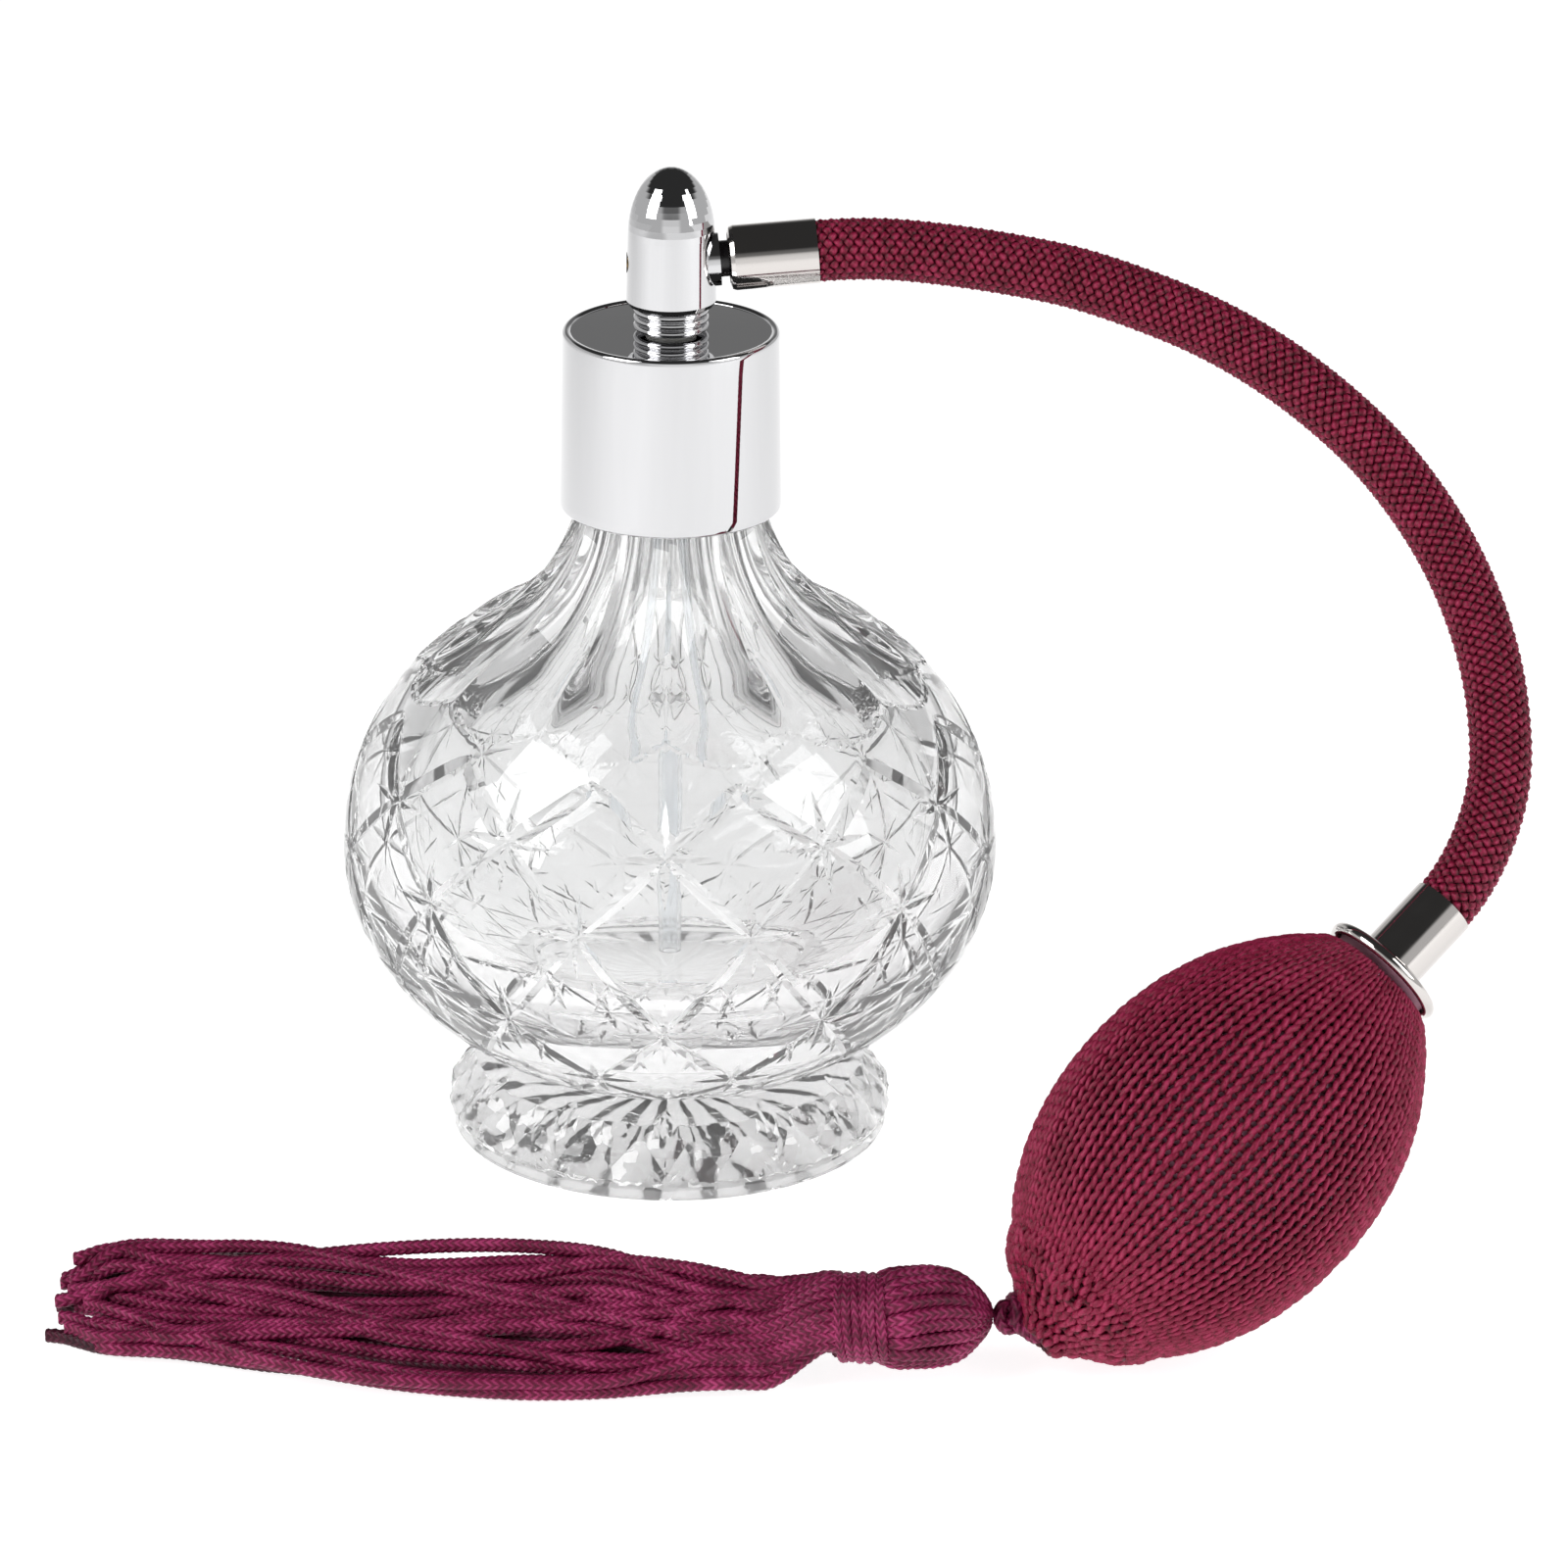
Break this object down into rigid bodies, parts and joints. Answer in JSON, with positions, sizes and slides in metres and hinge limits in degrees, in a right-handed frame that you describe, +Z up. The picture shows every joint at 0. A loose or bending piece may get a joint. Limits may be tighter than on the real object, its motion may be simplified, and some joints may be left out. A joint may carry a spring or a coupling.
{
  "type": "perfume bottle",
  "caption": "Footed cut-glass perfume bottle with a chrome collar and spray head, braided air hose, squeeze bulb in a knitted net, and cord tassel.",
  "frame": {"origin": "centre of the glass foot's flat underside, on the bottle's axis", "axes": "+Z up the bottle's axis, -X the way the spray leaves, +X towards the air hose, -Y the side where the bulb and tassel lie"},
  "size_m": [0.1787, 0.1272, 0.1265],
  "materials": {
    "clear_glass": "polished, cut",
    "chrome": "bright polished",
    "nickel": "bright polished, slightly warm",
    "brass_core": "machined",
    "seal_rubber": "soft matte",
    "natural_plastic": "moulded",
    "tube_plastic": "translucent",
    "dark_nipple": "moulded",
    "hose_rubber": "soft matte",
    "bulb_rubber": "soft matte",
    "braid_cord": "silky braid",
    "net_yarn": "knitted yarn",
    "tassel_cord": "knitted rayon cord"
  },
  "bodies": {
    "bottle": {"glass_bottle": "clear_glass"},
    "sprayer": {"neck_gasket": "seal_rubber", "stem_core": "natural_plastic", "dip_tube": "tube_plastic", "ribbed_ring": "chrome"},
    "collar": {"collar_insert": "natural_plastic", "collar_sleeve": "chrome", "collar_top_plate": "chrome"},
    "spray_head": {"head_shell": "chrome", "spray_core": "brass_core", "stem_seal": "seal_rubber", "nozzle_insert": "brass_core", "air_nipple": "dark_nipple"},
    "hose_and_bulb": {"ferrule_head": "nickel", "hose_socket": "dark_nipple", "hose_inner_tube": "hose_rubber", "hose_sleeve": "braid_cord", "ferrule_bulb": "nickel", "bulb_connector": "natural_plastic", "bulb_cup": "nickel", "rubber_bulb": "bulb_rubber", "net_cover": "net_yarn", "intake_valve_body": "nickel", "net_tail": "net_yarn", "tail_knot": "tassel_cord"},
    "outlet_valve": {"outlet_valve_disc": "seal_rubber"},
    "intake_valve": {"intake_valve_disc": "seal_rubber"},
    "tassel": {"tassel_core": "tassel_cord", "tassel_head": "tassel_cord", "tassel_binding": "tassel_cord", "tassel_skirt": "tassel_cord"}
  },
  "joints": [
    {"name": "sprayer_lift", "type": "slide", "parent": "bottle", "child": "sprayer", "axis": [0, 0, 1], "range_m": [0, 0.09]},
    {"name": "collar_turn", "type": "hinge", "parent": "sprayer", "child": "collar", "pos_m": [0, 0, 0.0985], "axis": [0, 0, 1], "range_deg": [0, 540]},
    {"name": "head_swivel", "type": "hinge", "parent": "sprayer", "child": "spray_head", "pos_m": [0, 0, 0.1143], "axis": [0, 0, 1], "continuous": true},
    {"name": "hose_swivel", "type": "hinge", "parent": "spray_head", "child": "hose_and_bulb", "pos_m": [0, 0, 0.1143], "axis": [0.9954, 0.0552, 0.0783], "range_deg": [-55, 0]},
    {"name": "bulb_squeeze", "type": "slide", "parent": "hose_and_bulb", "child": "outlet_valve", "axis": [0.6756, 0.425, 0.6025], "range_m": [0, 0.0012], "stiffness_N_per_m": 20, "springref_m": -0.0004},
    {"name": "bulb_refill", "type": "slide", "parent": "hose_and_bulb", "child": "intake_valve", "axis": [0.6756, 0.425, 0.6025], "range_m": [0, 0.0012], "stiffness_N_per_m": 20, "springref_m": -0.0004},
    {"name": "tassel_swing", "type": "hinge", "parent": "hose_and_bulb", "child": "tassel", "pos_m": [0.042, -0.0747, 0.007], "axis": [0, 1, 0], "range_deg": [-80, 45]}
  ]
}
